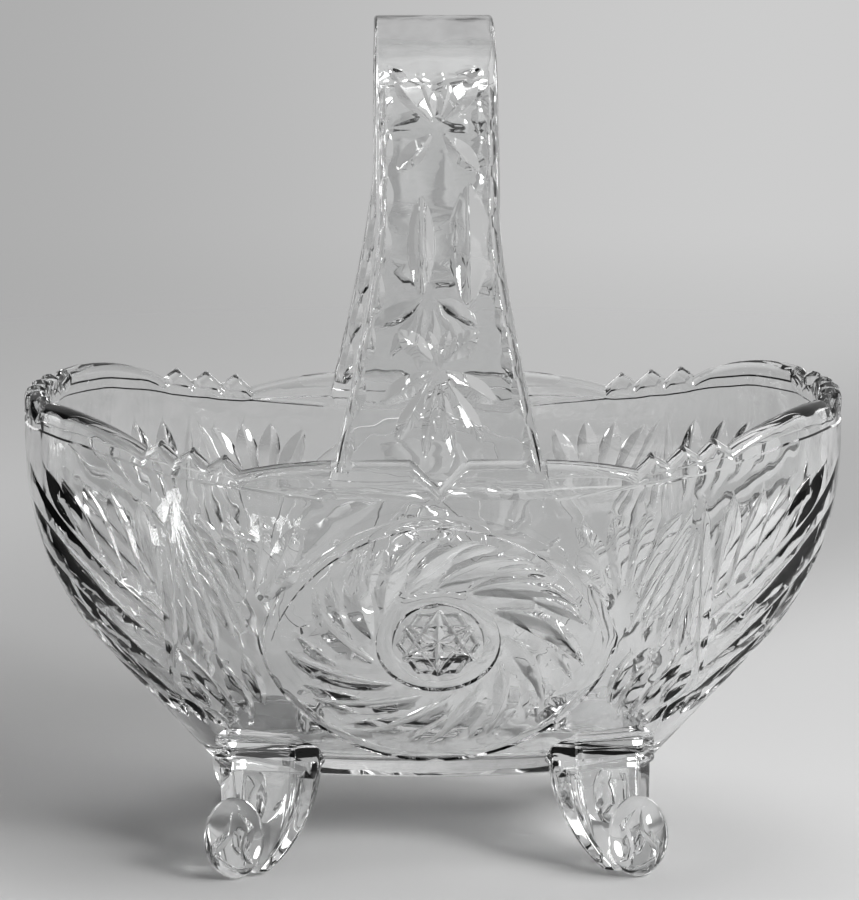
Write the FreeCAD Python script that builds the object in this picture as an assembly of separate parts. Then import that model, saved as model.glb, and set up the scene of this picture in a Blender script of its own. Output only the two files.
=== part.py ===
"""Footed basket of clear pressed glass: one solid, in millimetres.

The bowl is a four-arc oval with a curved and flared wall. Its rim is toothed, its wall carries
whirling blades and fans of leaf cuts, and a strap handle arches across it from rim to rim.
"""
import FreeCAD
import Part

import math
import os

from FreeCAD import Vector

# Sizes

SIZES = [
    ("bowl_length", 200.0),
    ("bowl_width", 124.4),
    ("end_arc_share", 0.868),
    ("underside_height", 19.0),
    ("shoulder_height", 100.0),
    ("wall_curve_radius", 74.0),
    ("base_width_share", 0.248),
    ("wall_thickness", 5.5),
    ("floor_thickness", 7.0),
    ("outer_wall_bands", 4),
    ("inner_wall_bands", 3),
    ("end_facets", 18),
    ("side_facets", 10),
    ("rim_peak_height", 115.0),
    ("side_arch_height", 108.0),
    ("rim_notch_half_width", 5.4),
    ("rim_notch_depth", 6.0),
    ("inner_valley_share", 0.466),
    ("inner_valley_height", 104.5),
    ("outer_valley_share", 0.693),
    ("outer_valley_height", 108.2),
    ("side_tooth_height", 3.0),
    ("side_tooth_count", 3),
    ("end_tooth_pitch", 8.0),
    ("end_tooth_depth", 3.2),
    ("handle_top_height", 205.0),
    ("handle_curve_radius", 50.0),
    ("handle_root_inset", 1.6),
    ("handle_root_drop", 9.0),
    ("handle_thickness", 6.0),
    ("handle_half_width", 14.3),
    ("handle_root_half_width", 26.2),
    ("handle_flare_height", 162.0),
    ("scallop_pitch", 11.6),
    ("scallop_start", 25.0),
    ("scallop_count", 8),
    ("scallop_depth", 1.3),
    ("upper_star_run", 49.0),
    ("hollow_run", 76.5),
    ("hollow_half_length", 15.0),
    ("hollow_spacing", 10.8),
    ("lower_star_run", 105.0),
    ("handle_cut_depth", 1.6),
    ("medallion_half_width", 41.0),
    ("medallion_height", 61.0),
    ("medallion_top_height", 92.6),
    ("medallion_bottom_height", 25.2),
    ("frame_stops", 9),
    ("frame_cut_depth", 0.9),
    ("blade_count", 13),
    ("blade_inner_radius", 15.0),
    ("blade_swirl", 50.0),
    ("blade_depth", 2.1),
    ("button_radius", 10.5),
    ("ring_width", 4.4),
    ("ring_depth", 1.1),
    ("ring_stops", 12),
    ("star_cut_depth", 1.1),
    ("line_depth", 1.3),
    ("leaf_depth", 1.8),
    ("end_leaf_depth", 2.2),
    ("cut_half_angle", 56.0),
    ("foot_length_share", 0.48),
    ("foot_width_share", 0.547),
    ("bead_radius", 7.3),
    ("bead_height", 19.4),
    ("bead_sides", 14),
    ("bead_rings", 6),
    ("leg_turn", 12.0),
    ("leg_half_width", 12.0),
    ("leg_half_thickness", 6.5),
]

doc = FreeCAD.newDocument("glass_basket")
sheet = doc.addObject("Spreadsheet::Sheet", "sizes")
for row, (alias, value) in enumerate(SIZES, start=1):
    sheet.set("A%d" % row, alias.replace("_", " "))
    sheet.set("B%d" % row, str(value))
    sheet.setAlias("B%d" % row, alias)
doc.recompute()


def size(alias):
    return float(sheet.get(alias))


# Plan outline and wall profile

half_length = size("bowl_length") / 2
half_width = size("bowl_width") / 2
end_radius = half_width * size("end_arc_share")
end_centre = half_length - end_radius
side_radius = (end_centre ** 2 + half_width ** 2 - end_radius ** 2) / (2 * (half_width - end_radius))
side_centre = side_radius - half_width
joint_angle = math.atan2(side_centre, end_centre)

curve_radius = size("wall_curve_radius")
shoulder = size("shoulder_height")
underside = size("underside_height")
base_inset = half_width * (1 - size("base_width_share"))
slope_reach = math.hypot(shoulder - underside, curve_radius - base_inset)
slope = math.asin(curve_radius / slope_reach) - math.atan2(curve_radius - base_inset, shoulder - underside)
stock_top = size("rim_peak_height") + 5


def end_point(side, inset, angle, height):
    radius = end_radius - inset
    return Vector(side * end_centre + radius * math.cos(angle), radius * math.sin(angle), height)


def side_point(side, inset, angle, height):
    radius = side_radius - inset
    return Vector(radius * math.cos(angle), radius * math.sin(angle) - side * side_centre, height)


OVAL_ARCS = (
    (end_point, 1, 0.0, joint_angle),
    (side_point, 1, math.pi / 2, math.pi / 2 - joint_angle),
    (end_point, -1, math.pi, joint_angle),
    (side_point, -1, math.pi * 3 / 2, math.pi / 2 - joint_angle),
)


def oval(inset, height):
    """Closed outline of four tangent arcs, set in from the rim outline."""
    edges = []
    for point, side, middle, half in OVAL_ARCS:
        ends = [point(side, inset, middle + step * half, height) for step in (-1, 0, 1)]
        edges.append(Part.Arc(*ends).toShape())
    return Part.Wire(edges)


def wall_levels(thickness, bottom, top, bands):
    """Inset and height of each level of the wall, offset inwards by a thickness."""
    radius = curve_radius - thickness
    levels = []
    for step in range(bands + 1):
        angle = slope * (1 - step / bands)
        levels.append((curve_radius - radius * math.cos(angle), shoulder - radius * math.sin(angle)))
    inset, height = levels[0]
    levels.insert(0, (inset + (height - bottom) * math.tan(slope), bottom))
    levels.append((levels[-1][0], top))
    return levels


def vessel(thickness, bottom, top, bands):
    """Oval vessel with a curved and flared wall, in fine flat facets."""
    facets = {end_point: int(size("end_facets")), side_point: int(size("side_facets"))}
    sections = []
    for inset, height in wall_levels(thickness, bottom, top, bands):
        corners = []
        for point, side, middle, half in OVAL_ARCS:
            count = facets[point]
            for step in range(count):
                angle = middle + half * (2 * step / count - 1)
                corners.append(point(side, inset, angle, height))
        sections.append(corners)
    return stacked(sections)


def wall_inset(height):
    """Inset of the smooth outer wall at a height."""
    curve_bottom = shoulder - curve_radius * math.sin(slope)
    if height >= shoulder:
        return 0.0
    if height >= curve_bottom:
        return curve_radius - math.sqrt(curve_radius ** 2 - (shoulder - height) ** 2)
    return curve_radius * (1 - math.cos(slope)) + (curve_bottom - height) * math.tan(slope)


def wall_slope(height):
    sine = min(max((shoulder - height) / curve_radius, 0.0), math.sin(slope))
    return math.asin(sine)


def wall_place(angle, height):
    """Point on the outer wall and its outward normal, by the plan direction of that normal."""
    inset = wall_inset(height)
    turn = math.atan2(abs(math.sin(angle)), abs(math.cos(angle)))
    if turn < joint_angle:
        centre = Vector(math.copysign(end_centre, math.cos(angle)), 0, 0)
        radius = end_radius - inset
    else:
        centre = Vector(0, -math.copysign(side_centre, math.sin(angle)), 0)
        radius = side_radius - inset
    outward = Vector(math.cos(angle), math.sin(angle), 0)
    point = centre + outward * radius
    point.z = height
    fall = wall_slope(height)
    normal = outward * math.cos(fall) - Vector(0, 0, math.sin(fall))
    return point, normal


def front_place(along, height):
    """Point on the front wall, by its distance along the length."""
    inset = wall_inset(height)
    joint = end_centre + (end_radius - inset) * math.cos(joint_angle)
    if abs(along) <= joint:
        angle = -math.acos(along / (side_radius - inset))
    else:
        share = min((abs(along) - end_centre) / (end_radius - inset), 1.0)
        angle = -math.acos(share)
        if along < 0:
            angle = -math.pi - angle
    return wall_place(angle, height)


def end_place(side, turn, height):
    """Point on the front half of an end wall, by the plan angle in degrees from the end's middle."""
    angle = -math.radians(turn)
    if side < 0:
        angle = -math.pi - angle
    return wall_place(angle, height)


# Cuts

cut_angle = math.radians(size("cut_half_angle"))
cut_deck = 1.1
cut_slack = 0.12


def solid_of(corner_lists):
    """Solid with flat faces, from the corners of each face."""
    faces = [Part.Face(Part.makePolygon(corners + corners[:1])) for corners in corner_lists]
    solid = Part.Solid(Part.Shell(faces))
    if solid.Volume < 0:
        solid.reverse()
    return solid


def stacked(sections):
    """Solid with flat faces, through level outlines that have matching corners."""
    faces = [sections[0][::-1], sections[-1]]
    for lower, upper in zip(sections, sections[1:]):
        for corner in range(len(lower)):
            following = (corner + 1) % len(lower)
            faces.append([lower[corner], lower[following], upper[following], upper[corner]])
    return solid_of(faces)


def channel(places, dips, depth, half_angle=cut_angle, closed=False):
    """V cut with flat faces along places on a surface, dipping at each by a share of its depth."""
    spread = math.tan(half_angle)
    lines = []
    last = len(places) - 1
    for index, (point, normal) in enumerate(places):
        before = index - 1 if closed or index > 0 else 0
        after = index + 1 if index < last else (0 if closed else last)
        forward = places[after][0] - places[before][0]
        forward.normalize()
        outward = normal - forward * normal.dot(forward)
        outward.normalize()
        aside = forward.cross(outward)
        keel = cut_slack - (depth + cut_slack) * dips[index]
        reach = (cut_deck - keel) * spread
        top = point + outward * cut_deck
        lines.append((point + outward * keel, top + aside * reach, top - aside * reach))
    faces = []
    if not closed:
        faces.append([lines[0][0], lines[0][1], lines[0][2]])
        faces.append([lines[-1][0], lines[-1][2], lines[-1][1]])
    for near, far in zip(lines, lines[1:] + (lines[:1] if closed else [])):
        for first, second in ((0, 1), (2, 0), (1, 2)):
            faces.append([near[first], far[first], far[second]])
            faces.append([near[first], far[second], near[second]])
    return solid_of(faces)


LEAF_STOPS = (0.0, 0.28, 0.72, 1.0)
LEAF_DIPS = (0.0, 0.86, 0.86, 0.0)
LONG_LEAF = ((0.0, 0.25, 0.5, 0.75, 1.0), (0.0, 0.8, 1.0, 0.8, 0.0))


def leaf(place, first, last, depth, stops=LEAF_STOPS, dips=LEAF_DIPS, half_angle=cut_angle):
    """Leaf cut on a surface between two pairs of its coordinates."""
    places = []
    for stop in stops:
        places.append(place(first[0] + (last[0] - first[0]) * stop, first[1] + (last[1] - first[1]) * stop))
    return channel(places, dips, depth, half_angle)


def turned(shapes, angle=180):
    """The same shapes turned about the basket's axis."""
    copies = []
    for shape in shapes:
        copy = shape.copy()
        copy.rotate(Vector(0, 0, 0), Vector(0, 0, 1), angle)
        copies.append(copy)
    return copies


def cut_all(body, tools):
    return body.cut(tools + turned(tools))


# Bowl with its toothed rim


def rim_line():
    """Half of the rim's height line, from the middle of a long side to the end."""
    arch = size("side_arch_height")
    notch = size("rim_notch_half_width")
    first = size("inner_valley_share") * half_length
    last = size("outer_valley_share") * half_length
    low = size("inner_valley_height")
    high = size("outer_valley_height")
    count = int(size("side_tooth_count"))
    pitch = (last - first) / count
    edges = []
    start = Vector(notch, 0, arch)
    finish = Vector(first, 0, low)
    middle = Vector(first * 0.55, 0, arch - (arch - low) * 0.12)
    edges.append(Part.makeLine(Vector(0, 0, arch - size("rim_notch_depth")), start))
    edges.append(Part.Arc(start, middle, finish).toShape())
    for tooth in range(count):
        valley = Vector(first + pitch * tooth, 0, low + (high - low) * tooth / count)
        following = Vector(valley.x + pitch, 0, low + (high - low) * (tooth + 1) / count)
        peak = (valley + following) * 0.5 + Vector(0, 0, size("side_tooth_height"))
        edges.append(Part.makeLine(valley, peak))
        edges.append(Part.makeLine(peak, following))
    top = size("rim_peak_height")
    crest = Vector(half_length - 8, 0, top)
    bulge = Vector((last + crest.x) / 2, 0, high + (top - high) * 0.72)
    edges.append(Part.Arc(Vector(last, 0, high), bulge, crest).toShape())
    edges.append(Part.makeLine(crest, Vector(half_length + 5, 0, top)))
    return edges


def crown_tool():
    """Everything above the rim line, as one profile run across the bowl."""
    halves = rim_line()
    mirrored = [edge.mirror(Vector(0, 0, 0), Vector(1, 0, 0)) for edge in halves]
    reach = half_length + 5
    top = size("rim_peak_height")
    lid = Part.makePolygon([
        Vector(reach, 0, top),
        Vector(reach, 0, stock_top + 5),
        Vector(-reach, 0, stock_top + 5),
        Vector(-reach, 0, top),
    ])
    edges = Part.sortEdges(halves + mirrored + lid.Edges)[0]
    face = Part.Face(Part.Wire(edges))
    face.translate(Vector(0, -half_width - 5, 0))
    return face.extrude(Vector(0, 2 * half_width + 10, 0))


def end_notches():
    """V notches that leave the teeth on both ends."""
    pitch = size("end_tooth_pitch")
    depth = size("end_tooth_depth")
    top = size("rim_peak_height")
    notches = []
    for step in (-2.5, -1.5, -0.5, 0.5, 1.5, 2.5):
        middle = step * pitch
        slant = (pitch / 2) * (depth + 1) / depth
        outline = Part.makePolygon([
            Vector(-half_length - 5, middle, top - depth),
            Vector(-half_length - 5, middle + slant, top + 1),
            Vector(-half_length - 5, middle - slant, top + 1),
            Vector(-half_length - 5, middle, top - depth),
        ])
        notches.append(Part.Face(outline).extrude(Vector(2 * half_length + 10, 0, 0)))
    return notches


def bowl(stands):
    """Bowl with its stands, hollowed and trimmed to the rim line."""
    floor = underside + size("floor_thickness")
    outside = vessel(0.0, underside, stock_top, int(size("outer_wall_bands")))
    inside = vessel(size("wall_thickness"), floor, stock_top + 2, int(size("inner_wall_bands")))
    shell = outside.fuse(stands).cut(inside)
    shell = shell.cut(crown_tool())
    return shell.cut(end_notches()[0::2]).cut(end_notches()[1::2])


# Handle

handle_radius = size("handle_curve_radius")
handle_centre_height = size("handle_top_height") - handle_radius
handle_foot = size("side_arch_height") - size("handle_root_drop")
handle_root = Vector(0, half_width - size("handle_root_inset"), shoulder)
root_run = math.hypot(handle_root.y, handle_centre_height - handle_root.z)
leg_lean = (
    math.atan2(handle_root.y, handle_centre_height - handle_root.z)
    - math.asin(handle_radius / root_run)
)


def handle_section_edges(depth, foot):
    """Arch line in the cross plane, offset inwards by a depth."""
    radius = handle_radius - depth
    tangent = Vector(0, radius * math.cos(leg_lean), handle_centre_height + radius * math.sin(leg_lean))
    fall = tangent.z - foot
    base = Vector(0, tangent.y + fall * math.tan(leg_lean), foot)
    top = Vector(0, 0, handle_centre_height + radius)
    left_tangent = Vector(0, -tangent.y, tangent.z)
    left_base = Vector(0, -base.y, base.z)
    return [
        Part.makeLine(base, tangent),
        Part.Arc(tangent, top, left_tangent).toShape(),
        Part.makeLine(left_tangent, left_base),
    ], base, left_base


def handle_half(height):
    """Half width of the handle at a height: a concave flare below, straight above."""
    flare = size("handle_flare_height")
    narrow = size("handle_half_width")
    wide = size("handle_root_half_width")
    share = min(max((flare - height) / (flare - shoulder), 0.0), 1.2)
    return narrow + (wide - narrow) * share ** 1.3


def handle_outline():
    """Front outline of the handle, flared at its roots."""
    flare = size("handle_flare_height")
    foot = handle_foot
    top = size("handle_top_height") + 1
    middle = (flare + foot) / 2
    points = [Vector(handle_half(height), 0, height) for height in (flare, middle, foot)]
    side = [
        Part.makeLine(Vector(points[0].x, 0, top), points[0]),
        Part.Arc(*points).toShape(),
    ]
    other = [edge.mirror(Vector(0, 0, 0), Vector(1, 0, 0)) for edge in side]
    caps = [
        Part.makeLine(Vector(-points[0].x, 0, top), Vector(points[0].x, 0, top)),
        Part.makeLine(Vector(-points[2].x, 0, foot), Vector(points[2].x, 0, foot)),
    ]
    face = Part.Face(Part.Wire(Part.sortEdges(side + other + caps)[0]))
    face.translate(Vector(0, -half_width - 5, 0))
    return face.extrude(Vector(0, 2 * half_width + 10, 0))


def handle_arch():
    foot = handle_foot
    outer, outer_base, outer_left = handle_section_edges(0.0, foot)
    inner, inner_base, inner_left = handle_section_edges(size("handle_thickness"), foot)
    closing = [Part.makeLine(outer_base, inner_base), Part.makeLine(outer_left, inner_left)]
    face = Part.Face(Part.Wire(Part.sortEdges(outer + inner + closing)[0]))
    reach = size("handle_root_half_width") + 10
    face.translate(Vector(-reach, 0, 0))
    arch = face.extrude(Vector(2 * reach, 0, 0))
    inside_rim = Part.makeLoft([oval(0.5, foot), oval(0.5, size("handle_top_height") + 2)], True, True)
    return arch.common(handle_outline()).common(inside_rim)


def handle_place(across, run):
    """Point and outward normal on the front of the arch, by the run down from its top."""
    radius = handle_radius
    arc_length = radius * (math.pi / 2 - leg_lean)
    if run <= arc_length:
        angle = run / radius
        normal = Vector(0, -math.sin(angle), math.cos(angle))
        point = Vector(across, 0, handle_centre_height) + normal * radius
        return point, normal
    normal = Vector(0, -math.cos(leg_lean), math.sin(leg_lean))
    down = Vector(0, -math.sin(leg_lean), -math.cos(leg_lean))
    point = Vector(across, 0, handle_centre_height) + normal * radius + down * (run - arc_length)
    return point, normal


def scallops():
    """Facets along both edges of the arch's outer face."""
    pitch = size("scallop_pitch")
    depth = size("scallop_depth")
    tools = []
    for step in range(int(size("scallop_count"))):
        run = size("scallop_start") + pitch * step
        for side in (-1, 1):
            places = [edge_place(side, run + pitch * share) for share in (0, 0.5, 1)]
            tools.append(channel(places, (0.0, 1.0, 0.0), depth, math.radians(78)))
    return tools


def edge_place(side, run):
    """Point on an edge of the arch's outer face and the direction between its two faces."""
    centre, normal = handle_place(0, run)
    outward = Vector(side * 0.7, 0, 0) + normal
    outward.normalize()
    return Vector(side * handle_half(centre.z), centre.y, centre.z), outward


def handle_ray(run, angle, inner, outer, depth):
    """Ray of a star on the arch, by its angle from straight up."""
    across = math.sin(math.radians(angle))
    fall = -math.cos(math.radians(angle))
    first = (inner * across, run + inner * fall)
    last = (outer * across, run + outer * fall)
    return leaf(handle_place, first, last, depth, (0.0, 0.4, 0.75, 1.0))


def handle_cuts():
    """Upper star, pair of tall hollows and lower star on the front of the arch."""
    depth = size("handle_cut_depth")
    upper = size("upper_star_run")
    middle = size("hollow_run")
    lower = size("lower_star_run")
    reach = size("hollow_half_length")
    apart = size("hollow_spacing") / 2
    tools = []
    for side in (-1, 1):
        for angle, outer in ((34, 17.5), (139, 15.0)):
            tools.append(handle_ray(upper, side * angle, 1.4, outer, depth))
        for angle, outer in ((48, 13.0), (122, 16.5), (153, 20.0)):
            tools.append(handle_ray(lower, side * angle, 1.4, outer, depth))
        first = (side * apart, middle - reach)
        last = (side * apart, middle + reach)
        tools.append(leaf(handle_place, first, last, depth, half_angle=math.radians(66)))
    return tools


# Scroll feet

foot_spot = Vector(size("foot_length_share") * half_length, -size("foot_width_share") * half_width, 0)


def chamfered_section(centre, half_across, half_deep):
    """Eight-sided level section of a leg."""
    turn = size("leg_turn")
    bevel = 0.45 * min(half_across, half_deep)
    corners = []
    for x, y in (
        (half_across, -half_deep + bevel),
        (half_across, half_deep - bevel),
        (half_across - bevel, half_deep),
        (-half_across + bevel, half_deep),
        (-half_across, half_deep - bevel),
        (-half_across, -half_deep + bevel),
        (-half_across + bevel, -half_deep),
        (half_across - bevel, -half_deep),
    ):
        swung = FreeCAD.Rotation(Vector(0, 0, 1), turn).multVec(Vector(x, y, 0))
        corners.append(centre + swung)
    return corners


def leg():
    """Leg that tapers and splays from the bowl down to its bead."""
    across = size("leg_half_width")
    deep = size("leg_half_thickness")
    top = underside + 15
    inner = Vector(foot_spot.x * 0.84, foot_spot.y * 0.43, top)
    outer = Vector(foot_spot.x * 0.955, foot_spot.y * 0.93, 1.6)
    sections = []
    for share, grow in ((0.0, 1.1), (0.28, 1.0), (0.58, 0.82), (0.82, 0.66), (1.0, 0.48)):
        centre = inner + (outer - inner) * share
        centre.x = inner.x + (outer.x - inner.x) * share ** 1.4
        centre.y = inner.y + (outer.y - inner.y) * share ** 1.15
        sections.append(chamfered_section(centre, across * grow, deep * grow))
    return stacked(sections)


def collar():
    """Low block that the leg grows from."""
    across = size("leg_half_width") + 1.4
    deep = size("leg_half_thickness") + 1.6
    low = Vector(foot_spot.x * 0.845, foot_spot.y * 0.5, underside + 4.5)
    high = Vector(foot_spot.x * 0.84, foot_spot.y * 0.40, underside + 15)
    sections = [
        chamfered_section(low, across * 0.9, deep * 0.9),
        chamfered_section(low + Vector(0, 0, 1.4), across, deep),
        chamfered_section(high, across, deep),
    ]
    return stacked(sections)


def bead():
    """Round end of the scroll, faceted, and ground flat where it stands."""
    radius = size("bead_radius")
    height = size("bead_height")
    sides = int(size("bead_sides"))
    rings = int(size("bead_rings"))
    low = -math.radians(72)
    high = math.radians(76)
    sections = []
    for step in range(rings + 1):
        angle = low + (high - low) * step / rings
        level = height * (math.sin(angle) - math.sin(low)) / (math.sin(high) - math.sin(low))
        ring = []
        for side in range(sides):
            turn = 2 * math.pi * side / sides
            spoke = Vector(math.cos(turn), math.sin(turn), 0) * (radius * math.cos(angle))
            ring.append(foot_spot + spoke + Vector(0, 0, level))
        sections.append(ring)
    return stacked(sections)


def feet():
    parts = [leg(), collar(), bead()]
    parts += [part.mirror(Vector(0, 0, 0), Vector(1, 0, 0)) for part in parts]
    return parts + turned(parts)


# Carving of one long side, repeated on the other


hub_height = size("medallion_height") + 1


def hub_place(radius, turn):
    """Point on the front wall by its distance and direction from the hub, as seen from the front."""
    return front_place(radius * math.cos(turn), hub_height + radius * math.sin(turn))


def frame_reach(turn):
    """Distance from the hub to the frame in a direction."""
    wide = size("medallion_half_width")
    middle = size("medallion_height")
    limit = size("medallion_top_height")
    if math.sin(turn) < 0:
        limit = size("medallion_bottom_height")
    tall = abs(limit - middle)
    radius = (wide ** 2 + tall ** 2) / (2 * tall)
    centre = math.copysign(radius - tall, -math.sin(turn))
    drop = centre * math.sin(turn)
    return drop + math.sqrt(radius ** 2 - centre ** 2 + drop ** 2)


def frame_cuts():
    """Pointed oval frame of the medallion, as an upper and a lower arc."""
    count = int(size("frame_stops"))
    dips = [0.0] + [1.0] * (count - 2) + [0.0]
    tools = []
    for start in (0.0, math.pi):
        turns = [start + math.pi * step / (count - 1) for step in range(count)]
        places = [hub_place(frame_reach(turn), turn) for turn in turns]
        tools.append(channel(places, dips, size("frame_cut_depth"), math.radians(66)))
    return tools


def button_ring():
    """Closed groove round the button."""
    count = int(size("ring_stops"))
    radius = size("button_radius") + size("ring_width") / 2
    places = [hub_place(radius, 2 * math.pi * (step + 0.5) / count) for step in range(count)]
    depth = size("ring_depth")
    half_angle = math.atan2(size("ring_width") / 2, depth)
    return channel(places, [1.0] * count, depth, half_angle, True)


def blades():
    """Bent blades that whirl from the ring out to the frame."""
    inner = size("blade_inner_radius")
    swirl = math.radians(size("blade_swirl"))
    count = int(size("blade_count"))
    tools = []
    for step in range(count):
        turn = 2 * math.pi * step / count + 0.2
        outer = frame_reach(turn - swirl) - 3.4
        places = []
        for stop in (0.0, 0.25, 0.5, 0.78, 1.0):
            places.append(hub_place(inner + (outer - inner) * stop, turn - swirl * stop ** 0.8))
        tools.append(channel(places, (0.0, 0.7, 1.0, 0.75, 0.0), size("blade_depth")))
    return tools


def button_star():
    """Three cuts that cross on the button and leave a six-rayed star."""
    reach = size("button_radius") - 1.0
    tools = []
    for step in range(3):
        turn = math.pi / 2 + math.pi * step / 3
        first = (reach * math.cos(turn), hub_height + reach * math.sin(turn))
        last = (-reach * math.cos(turn), hub_height - reach * math.sin(turn))
        places = [front_place(*first), front_place(0, hub_height), front_place(*last)]
        tools.append(channel(places, (0.0, 1.0, 0.0), size("star_cut_depth")))
    return tools


def corner_cuts(side):
    """Lines and leaves on a corner of the front, from the medallion to the end."""
    line = size("line_depth")
    depth = size("leaf_depth")

    def place(along, rise):
        return front_place(side * along * half_length, underside + rise * (shoulder - underside))

    lines = [
        leaf(place, (0.624, 0.98), (0.636, 0.32), line, (0.0, 0.3, 0.6, 1.0)),
        leaf(place, (0.612, 0.97), (0.446, 0.54), line),
        leaf(place, (0.624, 0.50), (0.47, 0.21), line),
    ]
    flutes = [
        leaf(place, (0.604, 0.92), (0.486, 0.54), depth),
        leaf(place, (0.612, 0.91), (0.535, 0.46), depth),
        leaf(place, (0.618, 0.90), (0.587, 0.45), depth),
    ]
    low_leaves = [
        leaf(place, (0.50, 0.46), (0.432, 0.22), depth),
        leaf(place, (0.615, 0.395), (0.54, 0.24), depth),
        leaf(place, (0.655, 0.30), (0.59, 0.19), depth),
    ]
    fan = []
    for angle, inner, outer in ((-40, 4, 18), (-24, 4, 26.5), (-5, 4, 26.5), (12, 4, 27), (27, 4, 29)):
        across = math.sin(math.radians(angle))
        rise = math.cos(math.radians(angle))
        centre = (size("medallion_half_width") + 2.5, hub_height + 6.5)
        first = ((centre[0] + inner * across) * side, centre[1] + inner * rise)
        last = ((centre[0] + outer * across) * side, centre[1] + outer * rise)
        fan.append(leaf(front_place, first, last, depth, (0.0, 0.4, 0.8, 1.0)))
    return lines, flutes, low_leaves, fan


def end_cuts(side):
    """Line and leaves on the nearer half of one end."""
    depth = size("end_leaf_depth")

    def place(turn, rise):
        return end_place(side, turn, underside + rise * (shoulder - underside))

    line = leaf(place, (68.5, 0.55), (14, 1.0), size("line_depth"), *LONG_LEAF)
    upper = [
        leaf(place, (66.5, 0.63), (64, 0.97), depth),
        leaf(place, (62.0, 0.65), (54, 0.975), depth),
        leaf(place, (56.0, 0.69), (44, 0.98), depth),
        leaf(place, (48.0, 0.75), (33, 0.985), depth),
    ]
    lower = [
        leaf(place, (62.0, 0.48), (16, 0.85), depth, *LONG_LEAF),
        leaf(place, (57.0, 0.36), (12, 0.70), depth, *LONG_LEAF),
        leaf(place, (50.0, 0.24), (8, 0.52), depth, *LONG_LEAF),
    ]
    return line, upper, lower


def carve(body):
    """Cuts in groups whose members stay clear of each other."""
    frame = frame_cuts()
    whirl = blades()
    star = button_star()
    groups = [
        frame[:1] + whirl[0::2] + star[0:1] + handle_cuts()[0::2],
        frame[1:] + whirl[1::2] + star[1:2] + handle_cuts()[1::2],
        [button_ring()],
        star[2:3],
        [],
        [],
    ]
    for side in (-1, 1):
        lines, flutes, low_leaves, fan = corner_cuts(side)
        line, upper, lower = end_cuts(side)
        groups[2] += lines[0:1] + lower[1:2] + fan[0::2]
        groups[3] += fan[1::2] + flutes[0:1] + flutes[2:3] + low_leaves[1:2] + upper[0::2]
        groups[4] += flutes[1:2] + low_leaves[0:1] + low_leaves[2:3] + upper[1::2] + lower[0::2]
        groups[5] += lines[1:3] + [line]
    for tools in groups:
        body = cut_all(body, tools)
    return body


# One piece of glass


def basket():
    handle = handle_arch()
    handle = handle.cut(scallops() + turned(scallops()))
    body = bowl(feet()).fuse(handle)
    return carve(body)


piece = doc.addObject("Part::Feature", "glass_basket")
piece.Label = "glass_basket"
piece.Shape = basket()
piece.Placement = FreeCAD.Placement()

doc.recompute()
for item in doc.Objects:
    if "Invalid" in item.State or "Error" in item.State:
        raise RuntimeError("%s did not compute" % item.Label)
if piece.Shape.isNull() or not piece.Shape.isValid():
    raise RuntimeError("glass_basket is not a valid solid")

os.makedirs("parts", exist_ok=True)
piece.Shape.exportStep("parts/%s.step" % piece.Label)
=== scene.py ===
import math

import bmesh
import bpy
from mathutils import Matrix, Vector


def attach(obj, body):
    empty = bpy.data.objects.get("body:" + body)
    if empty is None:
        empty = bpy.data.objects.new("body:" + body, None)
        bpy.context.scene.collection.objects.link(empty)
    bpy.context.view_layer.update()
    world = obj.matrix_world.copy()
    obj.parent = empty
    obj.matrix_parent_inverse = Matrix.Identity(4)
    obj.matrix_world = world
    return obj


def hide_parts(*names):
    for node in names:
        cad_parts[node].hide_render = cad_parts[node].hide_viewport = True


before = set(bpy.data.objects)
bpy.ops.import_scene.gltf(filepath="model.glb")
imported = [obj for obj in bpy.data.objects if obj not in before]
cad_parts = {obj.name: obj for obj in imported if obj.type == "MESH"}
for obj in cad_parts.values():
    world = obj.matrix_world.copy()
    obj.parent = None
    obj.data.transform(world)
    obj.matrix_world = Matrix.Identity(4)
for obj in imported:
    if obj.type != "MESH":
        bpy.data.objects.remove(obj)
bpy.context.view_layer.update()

MM = 0.001

# Bowl sizes in millimetres, the same as in the solid
END_RADIUS = 54.0
END_CENTRE = 46.0
HALF_WIDTH = 62.2
SIDE_RADIUS = (END_CENTRE ** 2 + HALF_WIDTH ** 2 - END_RADIUS ** 2) / (2 * (HALF_WIDTH - END_RADIUS))
SIDE_CENTRE = SIDE_RADIUS - HALF_WIDTH
JOINT = math.atan2(SIDE_CENTRE, END_CENTRE)
CURVE_RADIUS = 74.0
SLOPE = math.radians(41.4)
SHOULDER = 100.0
UNDERSIDE = 19.0
WALL_FOOT = 20.2
WALL = 5.5
FLOOR = 26.0
FLOOR_EDGE = 28.0
LIP = 2.3
PLAIN_BAND = 94.0

# Rim line, heights and places along or across the bowl
RIM_TOP = 115.0
END_VALLEY = 111.8
END_TOOTH_HALF = 4.0
END_TEETH_CLOSE = (24.0, 114.8)
WAVE_START = 92.5
TEETH_OUTER = 69.3
TEETH_INNER = 46.6
VALLEY_OUTER = 108.2
VALLEY_INNER = 104.5
SIDE_TEETH = 3
TOOTH_HEIGHT = 3.0
ARCH_TOP = 108.0
ARCH_STOPS = (43.0, 39.0, 34.0, 29.0, 24.0, 19.0, 14.0, 10.0, 7.0)
MIDDLE_NOTCH = ((5.6, 107.2), (3.0, 104.6), (0.0, 102.0))

# Shallow neck, measured down from the mean rim
NECK_TOP = 3.1
NECK_BOTTOM = 5.6
NECK_DEPTH = 0.4
NECK_SPREAD = 6

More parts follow.
